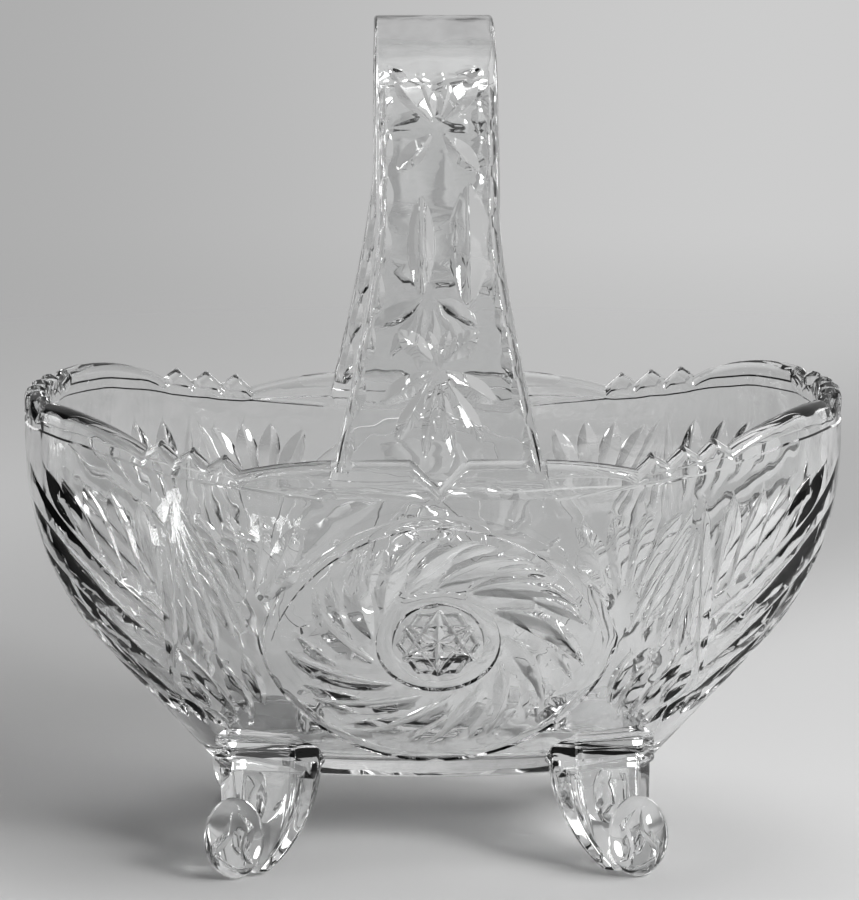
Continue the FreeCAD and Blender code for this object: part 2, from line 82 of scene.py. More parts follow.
# Handle
HANDLE_RADIUS = 50.0
HANDLE_CENTRE = 155.0
HANDLE_THICKNESS = 6.0
HANDLE_REACH = 60.6
HANDLE_HALF = 14.3
HANDLE_FLARE = 11.9
FLARE_TOP = 162.0
FLARE_RUN = 62.0
HANDLE_SOFT = 0.9
ROOT_TOP = 112.0
ROOT_END = 99.0
HANDLE_LEAN = (
    math.atan2(HANDLE_REACH, HANDLE_CENTRE - SHOULDER)
    - math.asin(HANDLE_RADIUS / math.hypot(HANDLE_REACH, HANDLE_CENTRE - SHOULDER))
)
ARC_RUN = HANDLE_RADIUS * (math.pi / 2 - HANDLE_LEAN)

# Stars, hollows and edges on the handle; runs are measured down from its top
UPPER_STAR = 49.0
LOWER_STAR = 105.0
STAR_RAYS = (
    (UPPER_STAR, 34, 1.0, 17.5, 1.9, 1.3),
    (UPPER_STAR, 139, 1.0, 15.0, 1.6, 1.2),
    (UPPER_STAR, 31, 13.5, 21.0, 1.1, 1.0),
    (UPPER_STAR, 13, 2.5, 13.5, 0.9, 1.0),
    (LOWER_STAR, 48, 1.0, 13.0, 1.6, 1.2),
    (LOWER_STAR, 122, 1.0, 16.5, 1.6, 1.2),
    (LOWER_STAR, 150, 2.0, 21.0, 1.3, 1.4),
    (LOWER_STAR, 171, 2.0, 22.0, 1.0, 1.4),
    (LOWER_STAR, 16, 2.5, 9.0, 0.8, 1.0),
)
EDGE_INSET = 2.2
SCALLOPS = 8
SCALLOP_PITCH = 11.6
SCALLOP_START = 25.0

# Feet
LEG_TURN = math.radians(12.0)
LEG_SWING = Matrix.Rotation(LEG_TURN, 3, "Z")
LEG_TOP = (40.3, -14.6, 34.0)
LEG_TRAVEL = (5.5, -17.0, -32.8)
LEG_BEND = (1.4, 1.15, 1.0)
LEG_ACROSS = 12.0
LEG_DEEP = 6.5
LEG_CORNERS = (
    (1.0, -0.3), (0.66, -1.0), (-0.56, -1.0), (-1.0, -0.25),
    (-1.0, 0.5), (-0.6, 1.0), (0.6, 1.0), (1.0, 0.5),
)
COLLAR_FOOT = 23.4
COLLAR_HEIGHT = 10.5
COLLAR_GROOVES = 4
COLLAR_ACROSS = 13.4
COLLAR_DEEP = 8.1
BEAD_CENTRE = Vector((48.9, -34.0, 9.7))
BEAD_ACROSS = 7.35
BEAD_RISE = 9.98
CURL_RISE = 9.9

# Medallion
HUB = 62.0
FRAME_WIDE = 41.0
FRAME_UP = 31.6
FRAME_DOWN = 35.8
BLADES = 13
BLADE_ROOT = 15.0
BLADE_SWEEP = math.radians(52)
RING_RADIUS = 12.7
BUTTON_RADIUS = 9.6


# Camera at the photograph's angle

CAMERA_AZIMUTH = math.radians(-1.22)
CAMERA_ELEVATION = math.radians(11.33)
CAMERA_DISTANCE = 1.0
CAMERA_LENS = 162.65
TARGET_ASIDE = -0.00095
TARGET_HEIGHT = 0.098351


def place_camera():
    back = Vector((
        math.sin(CAMERA_AZIMUTH) * math.cos(CAMERA_ELEVATION),
        -math.cos(CAMERA_AZIMUTH) * math.cos(CAMERA_ELEVATION),
        math.sin(CAMERA_ELEVATION),
    ))
    right = Vector((math.cos(CAMERA_AZIMUTH), math.sin(CAMERA_AZIMUTH), 0.0))
    target = right * TARGET_ASIDE + Vector((0.0, 0.0, TARGET_HEIGHT))
    data = bpy.data.cameras.new("photo_camera")
    data.sensor_width = 36.0
    data.lens = CAMERA_LENS
    data.clip_start = 0.01
    data.clip_end = 50.0
    camera = bpy.data.objects.new("photo_camera", data)
    bpy.context.scene.collection.objects.link(camera)
    up = back.cross(right)
    turn = Matrix((right, up, back)).transposed()
    camera.matrix_world = Matrix.Translation(target + back * CAMERA_DISTANCE) @ turn.to_4x4()
    bpy.context.scene.camera = camera


# Outer wall

def inset_at(height, thickness=0.0):
    """How far the wall, or its inner side, lies inside the rim outline at a height."""
    radius = CURVE_RADIUS - thickness
    if height >= SHOULDER:
        return thickness
    bottom = SHOULDER - radius * math.sin(SLOPE)
    if height >= bottom:
        return CURVE_RADIUS - math.sqrt(radius ** 2 - (SHOULDER - height) ** 2)
    return CURVE_RADIUS - radius * math.cos(SLOPE) + (bottom - height) * math.tan(SLOPE)


def oval_point(angle, inset, height):
    """Point of the four-arc oval by the plan direction of its normal."""
    if math.atan2(abs(math.sin(angle)), abs(math.cos(angle))) < JOINT:
        centre = Vector((math.copysign(END_CENTRE, math.cos(angle)), 0.0, 0.0))
        radius = END_RADIUS - inset
    else:
        centre = Vector((0.0, -math.copysign(SIDE_CENTRE, math.sin(angle)), 0.0))
        radius = SIDE_RADIUS - inset
    point = centre + Vector((math.cos(angle), math.sin(angle), 0.0)) * radius
    point.z = height
    return point


def wall_place(angle, height):
    """Point on the outer wall and its outward normal."""
    point = oval_point(angle, inset_at(height), height)
    fall = math.asin(min(max((SHOULDER - height) / CURVE_RADIUS, 0.0), math.sin(SLOPE)))
    normal = Vector((math.cos(angle) * math.cos(fall), math.sin(angle) * math.cos(fall), -math.sin(fall)))
    return point, normal


def front_place(along, height):
    """Place on the front wall by its distance along the length."""
    inset = inset_at(height)
    joint = END_CENTRE + (END_RADIUS - inset) * math.cos(JOINT)
    if abs(along) <= joint:
        return wall_place(-math.acos(along / (SIDE_RADIUS - inset)), height)
    angle = -math.acos(min((abs(along) - END_CENTRE) / (END_RADIUS - inset), 1.0))
    return wall_place(angle if along > 0 else -math.pi - angle, height)


def corner_place(side, degrees, height):
    """Place on the front half of an end, by the plan angle from the end's middle."""
    angle = -math.radians(degrees)
    return wall_place(angle if side > 0 else -math.pi - angle, height)


def rim_quarter():
    """Plan angle and height of the rim, from the middle of an end to the middle of a long side."""
    marks = []

    def add_end(across, height):
        marks.append((math.asin(across / END_RADIUS), height))

    def add_side(along, height):
        if along > END_CENTRE + END_RADIUS * math.cos(JOINT):
            marks.append((math.acos((along - END_CENTRE) / END_RADIUS), height))
        else:
            marks.append((math.acos(along / SIDE_RADIUS), height))

    teeth = [(END_TOOTH_HALF * step, END_VALLEY if step % 2 else RIM_TOP) for step in range(6)]
    teeth.append(END_TEETH_CLOSE)
    for (first, low), (last, high) in zip(teeth, teeth[1:]):
        for step in range(3):
            share = step / 3
            add_end(first + (last - first) * share, low + (high - low) * share)
    add_end(*END_TEETH_CLOSE)
    for step in range(1, 12):
        share = step / 12
        height = VALLEY_OUTER + (RIM_TOP - VALLEY_OUTER) * math.cos(share * math.pi / 2) ** 0.8
        add_side(WAVE_START + (TEETH_OUTER - WAVE_START) * share, height)
    pitch = (TEETH_OUTER - TEETH_INNER) / SIDE_TEETH
    rise = VALLEY_OUTER - VALLEY_INNER
    for tooth in range(SIDE_TEETH, 0, -1):
        valley = TEETH_INNER + pitch * tooth
        low = VALLEY_INNER + rise * tooth / SIDE_TEETH
        following = VALLEY_INNER + rise * (tooth - 1) / SIDE_TEETH
        peak = (low + following) / 2 + TOOTH_HEIGHT
        for step in range(3):
            add_side(valley - pitch / 2 * step / 3, low + (peak - low) * step / 3)
        for step in range(3):
            add_side(valley - pitch / 2 * (1 + step / 3), peak + (following - peak) * step / 3)
    for along in (TEETH_INNER, *ARCH_STOPS):
        add_side(along, ARCH_TOP - (ARCH_TOP - VALLEY_INNER) * (along / TEETH_INNER) ** 3.5)
    for along, height in MIDDLE_NOTCH:
        add_side(along, height)
    return marks


def rim_columns():
    """Plan angle and rim height of every column, once round the bowl."""
    quarter = rim_quarter()
    half = quarter + [(math.pi - angle, height) for angle, height in quarter[-2::-1]]
    return half + [(2 * math.pi - angle, height) for angle, height in half[-2:0:-1]]


def neck_marks(columns):
    """Top and bottom height of the shallow neck below the lip, evened out under the teeth."""
    marks = []
    count = len(columns)
    for index, (_, rim) in enumerate(columns):
        near = [columns[(index + step) % count][1] for step in range(-NECK_SPREAD, NECK_SPREAD + 1)]
        mean = sum(near) / len(near)
        top = min(mean - NECK_TOP, rim - LIP - 0.3)
        marks.append((top, min(mean - NECK_BOTTOM, top - 0.9)))
    return marks


# Meshes

def new_piece(name, mesh):
    piece = bpy.data.objects.new(name, mesh)
    bpy.context.scene.collection.objects.link(piece)
    return piece


def tube_mesh(name, rings):
    """Closed mesh through rings of matching points, capped at both ends unless the last ring is the first."""
    build = bmesh.new()
    loop = rings[0] == rings[-1]
    rows = [[build.verts.new(point * MM) for point in ring] for ring in (rings[:-1] if loop else rings)]
    pairs = list(zip(rows, rows[1:]))
    if loop:
        pairs.append((rows[-1], rows[0]))
    else:
        build.faces.new(rows[0][::-1])
        build.faces.new(rows[-1])
    for lower, upper in pairs:
        for corner in range(len(lower)):
            following = (corner + 1) % len(lower)
            build.faces.new((lower[corner], lower[following], upper[following], upper[corner]))
    bmesh.ops.triangulate(build, faces=[face for face in build.faces if len(face.verts) > 4])
    bmesh.ops.recalc_face_normals(build, faces=build.faces)
    mesh = bpy.data.meshes.new(name)
    build.to_mesh(mesh)
    build.free()
    return mesh


def combine(target, tools, operation):
    """Applies a boolean with several closed tools and removes them."""
    group = bpy.data.collections.new("tools")
    bpy.context.scene.collection.children.link(group)
    for tool in tools:
        bpy.context.scene.collection.objects.unlink(tool)
        group.objects.link(tool)
    step = target.modifiers.new("combine", "BOOLEAN")
    step.operation = operation
    step.operand_type = "COLLECTION"
    step.collection = group
    step.solver = "MANIFOLD"
    view = bpy.context.evaluated_depsgraph_get()
    mesh = bpy.data.meshes.new_from_object(target.evaluated_get(view))
    target.modifiers.clear()
    old = target.data
    target.data = mesh
    bpy.data.meshes.remove(old)
    for tool in tools:
        bpy.data.meshes.remove(tool.data)
    bpy.data.collections.remove(group)


# Bowl

def level_ring(columns, inset, height):
    return [oval_point(angle, inset, height) for angle, _ in columns]


def outer_rings(columns):
    """Base, outer wall and shallow neck, from the underside up to the lip."""
    base = inset_at(UNDERSIDE)
    rings = [level_ring(columns, base + 1.6, UNDERSIDE), level_ring(columns, base + 0.4, UNDERSIDE + 0.3)]
    for step in range(25):
        height = WALL_FOOT + (PLAIN_BAND - WALL_FOOT) * step / 24
        rings.append(level_ring(columns, inset_at(height), height))
    necks = neck_marks(columns)
    top, bottom = 0, 1
    for share, edge, shift, extra in (
        (0.5, bottom, -NECK_DEPTH, 0.0),
        (1.0, bottom, -NECK_DEPTH, 0.0),
        (1.0, bottom, 0.0, NECK_DEPTH),
        (1.0, top, -NECK_DEPTH, NECK_DEPTH),
        (1.0, top, 0.0, 0.0),
    ):
        ring = []
        for (angle, _), marks in zip(columns, necks):
            height = PLAIN_BAND + (marks[edge] + shift - PLAIN_BAND) * share
            ring.append(oval_point(angle, inset_at(height) + extra, height))
        rings.append(ring)
    return rings


def lip_rings(columns):
    """Half-round lip along the toothed rim."""
    rings = [[oval_point(angle, inset_at(rim - LIP), rim - LIP) for angle, rim in columns]]
    for step in range(1, 8):
        turn = math.pi * step / 8
        inset = WALL / 2 * (1 - math.cos(turn))
        lift = LIP * math.sin(turn) - LIP
        rings.append([oval_point(angle, inset, rim + lift) for angle, rim in columns])
    return rings


def inner_rings(columns):
    """Inner wall from the lip down, and the rounded edge of the floor."""
    rings = []
    for third in (3, 2, 1):
        ring = []
        for angle, rim in columns:
            height = PLAIN_BAND + (rim - LIP - PLAIN_BAND) * third / 3
            ring.append(oval_point(angle, inset_at(height, WALL), height))
        rings.append(ring)
    for step in range(19):
        height = PLAIN_BAND + (FLOOR_EDGE + 1.0 - PLAIN_BAND) * step / 18
        rings.append(level_ring(columns, inset_at(height, WALL), height))
    for extra, lift in ((0.0, 2.0), (0.3, 1.0), (1.4, 0.2), (3.2, 0.0)):
        rings.append(level_ring(columns, inset_at(FLOOR_EDGE, WALL) + extra, FLOOR + lift))
    return rings


def bowl_piece():
    """Smooth wall, rounded lip, inner wall and floor in one closed skin."""
    columns = rim_columns()
    rings = outer_rings(columns) + lip_rings(columns) + inner_rings(columns)
    return new_piece("glass_body", tube_mesh("glass_body", rings))


def hollow_piece():
    """Space inside the bowl, a little larger, that trims what reaches through the wall."""
    angles = [math.radians(step * 3) for step in range(120)]
    rings = []
    for height in (FLOOR - 0.6, 32.0, 38.0, 44.0, 50.0, 58.0, 70.0, 84.0):
        inset = inset_at(max(height, FLOOR_EDGE), WALL - 0.8)
        rings.append([oval_point(angle, inset, height) for angle in angles])
    return new_piece("hollow", tube_mesh("hollow", rings))


# Handle

def handle_half(height):
    """Half the width of the strap, which flares towards its roots."""
    share = min(max((FLARE_TOP - height) / FLARE_RUN, 0.0), 1.2)
    return HANDLE_HALF + HANDLE_FLARE * share ** 1.3


def handle_place(across, run, side=-1):
    """Place on the outer face of the arch, by the run down from its top on one side."""
    if run <= ARC_RUN:
        turn = run / HANDLE_RADIUS
        normal = Vector((0.0, side * math.sin(turn), math.cos(turn)))
        return Vector((across, 0.0, HANDLE_CENTRE)) + normal * HANDLE_RADIUS, normal
    normal = Vector((0.0, side * math.cos(HANDLE_LEAN), math.sin(HANDLE_LEAN)))
    down = Vector((0.0, side * math.sin(HANDLE_LEAN), -math.cos(HANDLE_LEAN)))
    point = Vector((across, 0.0, HANDLE_CENTRE)) + normal * HANDLE_RADIUS + down * (run - ARC_RUN)
    return point, normal


def keep_in_wall(place):
    """Moves a point of a handle root across the bowl, into the glass of the wall."""
    radius = SIDE_RADIUS - inset_at(place.z) - 0.5
    limit = math.sqrt(radius ** 2 - place.x ** 2) - SIDE_CENTRE
    place.y = max(min(place.y, limit), -limit)
    radius = SIDE_RADIUS - inset_at(place.z, WALL)
    swell = 9.0 * max((place.z - ROOT_END) / (ROOT_TOP - ROOT_END), 0.0) ** 2 - 0.3
    limit = math.sqrt(radius ** 2 - place.x ** 2) - SIDE_CENTRE - swell
    place.y = math.copysign(max(abs(place.y), limit), place.y)


def handle_ring(centre, normal):
    """Section of the strap with rounded long edges."""
    ring = []
    half = handle_half(centre.z)
    for corner_x, corner_n, first in ((1, 0, 0), (1, -1, 90), (-1, -1, 180), (-1, 0, 270)):
        middle_x = corner_x * (half - HANDLE_SOFT)
        middle_n = -HANDLE_SOFT if corner_n == 0 else HANDLE_SOFT - HANDLE_THICKNESS
        for step in range(4):
            turn = math.radians(90 - first - step * 30)
            place = centre + Vector((1.0, 0.0, 0.0)) * (middle_x + HANDLE_SOFT * math.cos(turn))
            place += normal * (middle_n + HANDLE_SOFT * math.sin(turn))
            if place.z < ROOT_TOP:
                keep_in_wall(place)
            ring.append(place)
    return ring


def handle_piece():
    """Strap that arches from rim to rim."""
    leg_top = HANDLE_CENTRE + HANDLE_RADIUS * math.sin(HANDLE_LEAN)
    last = ARC_RUN + (leg_top - ROOT_END) / math.cos(HANDLE_LEAN)
    rings = []
    for stop in [last * (step / 44 - 1) for step in range(44)] + [last * step / 44 for step in range(45)]:
        rings.append(handle_ring(*handle_place(0.0, abs(stop), -1 if stop < 0 else 1)))
    return new_piece("handle", tube_mesh("handle", rings))


# Feet

def at_foot(point, side, front=1):
    """The same point or direction at another foot: side and front are 1 or -1."""
    return Vector((point.x * side, point.y * front, point.z))


def leg_at(share):
    """Centre and half sizes of a leg's level section, on the way from the bowl to the table."""
    ways = zip(LEG_TOP, LEG_TRAVEL, LEG_BEND)
    centre = Vector([top + travel * share ** bend for top, travel, bend in ways])
    grow = 1.06 - 0.6 * share ** 1.4
    inward = 1.8 * math.sin(math.pi * share ** 1.5) ** 0.8
    return centre - LEG_SWING @ Vector((inward, 0.0, 0.0)), LEG_ACROSS * grow + inward, LEG_DEEP * grow


def leg_ring(centre, half_across, half_deep):
    """Level section of a leg: flat front, canted sides and softened corners."""
    ring = []
    corners = [Vector(corner) for corner in LEG_CORNERS]
    for index, corner in enumerate(corners):
        before = (corners[index - 1] - corner).normalized() * 0.09
        after = (corners[(index + 1) % len(corners)] - corner).normalized() * 0.09
        for place in (corner + before, corner + (before + after) * 0.24, corner + after):
            x = place.x * half_across
            y = place.y * half_deep
            ring.append(centre + Vector((
                x * math.cos(LEG_TURN) - y * math.sin(LEG_TURN),
                x * math.sin(LEG_TURN) + y * math.cos(LEG_TURN),
                0.0,
            )))
    return ring


def collar_rings():
    """Collar between bowl and leg, with four fine grooves."""
    ridges = [(0.0, 0.92), (0.35, 0.985), (0.8, 1.0)]
    for groove in range(COLLAR_GROOVES):
        lift = 1.4 + 1.75 * groove
        ridges += [(lift, 1.0), (lift + 0.3, 0.965), (lift + 0.6, 1.0)]
    ridges.append((COLLAR_HEIGHT, 1.0))
    rings = []
    bottom = Vector((40.5, -17.0, COLLAR_FOOT))
    top = Vector((40.3, -13.6, 34.0))
    for lift, grow in ridges:
        centre = bottom.lerp(top, lift / COLLAR_HEIGHT)
        centre.z = COLLAR_FOOT + lift
        rings.append(leg_ring(centre, COLLAR_ACROSS * grow, COLLAR_DEEP * grow))
    return rings


def bead_rings():
    """Tall round bead, flat where it meets the table."""
    rings = []
    for step in range(15):
        angle = math.radians(-76 + 152 * step / 14)
        level = BEAD_CENTRE.z + BEAD_RISE * math.sin(angle)
        spread = BEAD_ACROSS * math.cos(angle)
        ring = []
        for spoke in range(28):
            way = 2 * math.pi * spoke / 28
            x = BEAD_CENTRE.x + spread * math.cos(way)
            y = BEAD_CENTRE.y + spread * math.sin(way)
            ring.append(Vector((x, y, level)))
        rings.append(ring)
    return rings


def foot_pieces(side, front):
    """Leg, ridged collar and scroll bead of one foot."""
    leg = [leg_ring(*leg_at(step / 14)) for step in range(15)]
    pieces = []
    for name, rings in (("leg", leg), ("collar", collar_rings()), ("bead", bead_rings())):
        placed = [[at_foot(point, side, front) for point in ring] for ring in rings]
        pieces.append(new_piece(name, tube_mesh(name, placed)))
    return pieces


# Cutting tools

def cutter(path, depth, half_angle=56.0, blunt=0.25, bias=1.0, deck=1.3, even=False):
    """Closed V tool along places on a surface, deepest in the middle, nearer one end, or even."""
    slope = math.tan(math.radians(half_angle))
    clear = 0.12
    rings = []
    count = len(path)
    for index, (point, normal) in enumerate(path):
        before = path[max(index - 1, 0)][0]
        after = path[min(index + 1, count - 1)][0]
        forward = (after - before).normalized()
        outward = (normal - forward * normal.dot(forward)).normalized()
        sideways = forward.cross(outward)
        share = index / (count - 1)
        dip = min(1.0, 14 * share, 14 * (1 - share)) if even else math.sin(math.pi * share ** bias)
        keel = clear - (depth + clear) * dip
        reach = (deck - keel) * slope
        ring = []
        for spread in (-1.0, -0.5, -0.16, 0.0, 0.16, 0.5, 1.0):
            aside = reach * spread
            rise = math.sqrt(blunt ** 2 + (aside / slope) ** 2) - blunt
            ring.append(point + sideways * aside + outward * (keel + rise))
        rings.append(ring)
    return rings


def band_rings(path, half_width, depth):
    """Closed flat groove along a loop, as rings of a tool that joins on itself."""
    profile = ((-1.5, 1.1), (-1.0, 0.05), (-0.86, -0.8), (0.0, -1.0), (0.86, -0.8), (1.0, 0.05), (1.5, 1.1))
    rings = []
    count = len(path)
    for index, (point, normal) in enumerate(path):
        into = (point - path[index - 1][0]).normalized()
        forward = (into + (path[(index + 1) % count][0] - point).normalized()).normalized()
        outward = (normal - forward * normal.dot(forward)).normalized()
        sideways = forward.cross(outward) / max(forward.dot(into), 0.5)
        ring = []
        for share, rise in profile:
            lift = rise * depth if rise < 0 else rise
            ring.append(point + sideways * (half_width * share) + outward * lift)
        rings.append(ring)
    rings.append(rings[0])
    return rings


def path_on(place, first, last, count=11):
    """Straight run of places between two pairs of surface coordinates."""
    stops = []
    for step in range(count):
        share = step / (count - 1)
        stops.append(place(first[0] + (last[0] - first[0]) * share, first[1] + (last[1] - first[1]) * share))
    return stops


def half_turned(rings):
    return [[Vector((-point.x, -point.y, point.z)) for point in ring] for ring in rings]


def tool_pieces(cuts):
    """Each tool and its copy turned half round the basket."""
    tools = []
    for rings in cuts:
        for turned in (rings, half_turned(rings)):
            tools.append(new_piece("cut", tube_mesh("cut", turned)))
    return tools


# Cuts in the feet

def bead_place(across, rise):
    """Front point of a scroll bead by its share across, outwards, and its share up, with its normal."""
    forward = -math.sqrt(max(1.0 - across ** 2 - rise ** 2, 0.02))
    point = BEAD_CENTRE + Vector((BEAD_ACROSS * across, BEAD_ACROSS * forward, CURL_RISE * rise))
    normal = Vector((across / BEAD_ACROSS, forward / BEAD_ACROSS, rise / CURL_RISE)).normalized()
    return point, normal


def bead_cuts(side):
    """Two curling grooves on the face of a scroll bead."""
    outer_curl = (
        (0.02, 0.86), (0.06, 0.6), (0.16, 0.3), (0.42, 0.08),
        (0.64, -0.12), (0.7, -0.36), (0.58, -0.62), (0.3, -0.86),
    )
    inner_curl = (
        (-0.1, 0.82), (-0.34, 0.62), (-0.56, 0.4), (-0.44, 0.1),
        (-0.36, -0.16), (-0.5, -0.42), (-0.66, -0.54),
    )
    cuts = []
    for curl in (outer_curl, inner_curl):
        places = []
        for first, last in zip(curl, curl[1:]):
            places += path_on(bead_place, first, last, 4)[:-1]
        places.append(bead_place(*curl[-1]))
        path = [(at_foot(point, side), at_foot(normal, side)) for point, normal in places]
        cuts.append(cutter(path, 1.3, 46.0, 0.2, 1.0, 1.0))
    return cuts


def leg_flute(side):
    """Groove down the inner corner of a leg."""
    path = []
    for step in range(13):
        centre, half_across, half_deep = leg_at(0.3 + 0.66 * step / 12)
        point = centre + LEG_SWING @ Vector((-0.78 * half_across, -0.625 * half_deep, 0.0))
        normal = LEG_SWING @ Vector((-0.75 * half_deep, -0.44 * half_across, 0.0)).normalized()
        path.append((at_foot(point, side), at_foot(normal, side)))
    return cutter(path, 1.8, 46.0, 0.2, even=True)


# Cuts in the wall

def hub_place(radius, turn):
    return front_place(radius * math.cos(turn), HUB + radius * math.sin(turn))


def frame_reach(turn):
    """Distance from the hub to the pointed oval frame."""
    tall = FRAME_UP if math.sin(turn) >= 0 else FRAME_DOWN
    radius = (FRAME_WIDE ** 2 + tall ** 2) / (2 * tall)
    centre = math.copysign(radius - tall, -math.sin(turn))
    drop = centre * math.sin(turn)
    return drop + math.sqrt(radius ** 2 - centre ** 2 + drop ** 2)


def blade_cuts(turn):
    """One curved blade and two fine cuts beside it, flatter low down, where steep flanks would look black."""
    outer = frame_reach(turn - BLADE_SWEEP) - 3.4
    path = []
    for stop in range(14):
        share = stop / 13
        swing = BLADE_SWEEP * share ** 0.8
        path.append(hub_place(BLADE_ROOT + (outer - BLADE_ROOT) * share, turn - swing))
    if path[7][0].z < HUB + 3.0:
        cuts = [cutter(path, 1.25, 68.5, 0.15, 0.9)]
    else:
        cuts = [cutter(path, 2.1, 56.0, 0.2, 0.9)]
    for degrees, root, depth in ((10, 0.42, 1.2), (18, 0.6, 0.9)):
        beside = turn + math.radians(degrees)
        outer = frame_reach(beside - math.radians(44)) - 3.6
        inner = BLADE_ROOT + (outer - BLADE_ROOT) * root
        path = []
        for stop in range(10):
            share = stop / 9
            swing = math.radians(18 + 26 * share)
            path.append(hub_place(inner + (outer - inner) * share, beside - swing))
        if path[5][0].z < HUB + 3.0:
            cuts.append(cutter(path, 0.63 * depth, 67.0, 0.1, 0.9))
        else:
            cuts.append(cutter(path, depth, 56.0, 0.2, 0.9))
    return cuts


def button_cuts():
    """Star of three lines across the button, crossed by twelve chords."""
    cuts = []
    for step in range(3):
        turn = math.pi / 2 + math.pi * step / 3
        across = BUTTON_RADIUS * math.cos(turn)
        rise = BUTTON_RADIUS * math.sin(turn)
        path = path_on(front_place, (across, HUB + rise), (-across, HUB - rise), 15)
        cuts.append(cutter(path, 0.9, 52.0, 0.1, even=True))
    for step in range(6):
        turn = math.pi * step / 3 + math.pi / 6
        for offset, reach, depth in ((4.6, 8.5, 0.75), (8.0, 5.6, 0.55)):
            middle = Vector((offset * math.cos(turn), offset * math.sin(turn)))
            along = Vector((-math.sin(turn), math.cos(turn))) * reach
            first = (middle.x + along.x, HUB + middle.y + along.y)
            last = (middle.x - along.x, HUB + middle.y - along.y)
            cuts.append(cutter(path_on(front_place, first, last, 15), depth, 50.0, 0.1, even=True))
    return cuts


def medallion_cuts():
    """Pointed oval frame, whirling blades, ring and star button."""
    oval = []
    for step in range(96):
        turn = 2 * math.pi * step / 96
        oval.append(hub_place(frame_reach(turn), turn))
    cuts = [band_rings(oval, 1.75, 0.85)]
    for step in range(BLADES):
        cuts += blade_cuts(2 * math.pi * step / BLADES + 0.2)
    ring = [hub_place(RING_RADIUS, 2 * math.pi * step / 48) for step in range(48)]
    cuts.append(band_rings(ring, 2.1, 1.0))
    return cuts + button_cuts()


def corner_leaves(side):
    """Leaf cuts from the medallion round to the middle of an end."""
    cuts = []

    def wall(along, height):
        return front_place(side * along, height)

    def end(degrees, height):
        return corner_place(side, degrees, height)

    def wall_leaf(first, last, depth=1.8, bias=1.0):
        cuts.append(cutter(path_on(wall, first, last), depth, 56.0, 0.25, bias))

    def end_leaf(first, last, depth, bias=1.0, half_angle=56.0):
        cuts.append(cutter(path_on(end, first, last, 13), depth, half_angle, 0.25, bias))

    # Fine line under the side teeth, three border lines and the four leaves between the first two
    cuts.append(cutter(path_on(wall, (61.0, 103.0), (25.0, 98.4), 15), 0.45, 50.0, 0.1, even=True))
    wall_leaf((62.4, 98.5), (63.6, 45.0), 1.2)
    wall_leaf((61.2, 97.5), (44.6, 63.0), 1.2)
    wall_leaf((62.4, 59.5), (47.0, 36.0), 1.3)
    wall_leaf((60.4, 94.0), (48.2, 62.5), 1.6, 1.5)
    wall_leaf((61.0, 93.0), (52.2, 57.0), 1.7, 1.5)
    wall_leaf((61.6, 92.0), (56.4, 55.0), 1.7, 1.5)
    wall_leaf((62.0, 91.0), (60.4, 58.0), 1.5, 1.5)

    # Upright fan beside the medallion
    for degrees, reach in ((-40, 18.0), (-24, 26.5), (-5, 26.5), (12, 27.0), (27, 29.0)):
        across = math.sin(math.radians(degrees))
        rise = math.cos(math.radians(degrees))
        first = (43.5 + 4.0 * across, 68.5 + 4.0 * rise)
        last = (43.5 + reach * across, 68.5 + reach * rise)
        wall_leaf(first, last, 1.8, 1.6)

    # Short leaves above the foot
    wall_leaf((46.2, 58.5), (41.5, 41.0), 1.5)
    wall_leaf((51.0, 55.0), (44.0, 36.5), 1.6)
    wall_leaf((61.5, 51.0), (54.5, 39.5), 1.7)
    wall_leaf((56.5, 40.0), (50.0, 33.0), 1.5)
    wall_leaf((61.0, 42.0), (55.0, 33.5), 1.5)
    wall_leaf((65.0, 43.0), (60.0, 35.0), 1.5)

    # Slanting line on the end, leaves above it and long leaves below it
    end_leaf((68.5, 63.5), (14.0, 100.0), 1.3)
    for first, last in (
        ((66.5, 70.0), (64.0, 97.5)),
        ((62.5, 71.5), (54.5, 98.0)),
        ((57.5, 74.5), (45.5, 98.5)),
        ((51.0, 79.0), (36.5, 99.0)),
        ((43.5, 84.0), (28.0, 100.0)),
    ):
        end_leaf(first, last, 2.1, 1.4)
    for first, last in (
        ((63.0, 59.0), (15.0, 89.5)),
        ((59.0, 50.0), (12.0, 79.0)),
        ((54.5, 41.5), (9.0, 67.5)),
        ((47.0, 34.5), (5.0, 55.0)),
    ):
        end_leaf(first, last, 1.85, 1.2, 61.5)
    return cuts


# Cuts on the handle

def handle_ray(run, degrees, inner, outer, depth, bias):
    """One ray of a star, by its angle from the line towards the handle's top."""
    across = math.sin(math.radians(degrees))
    fall = -math.cos(math.radians(degrees))
    first = (inner * across, run + inner * fall)
    last = (outer * across, run + outer * fall)
    return cutter(path_on(handle_place, first, last, 9), depth, 56.0, 0.2, bias)


def edge_place(side, run):
    """Place a little inside a long edge of the strap."""
    half = handle_half(handle_place(0.0, run)[0].z)
    return handle_place(side * (half - EDGE_INSET), run)


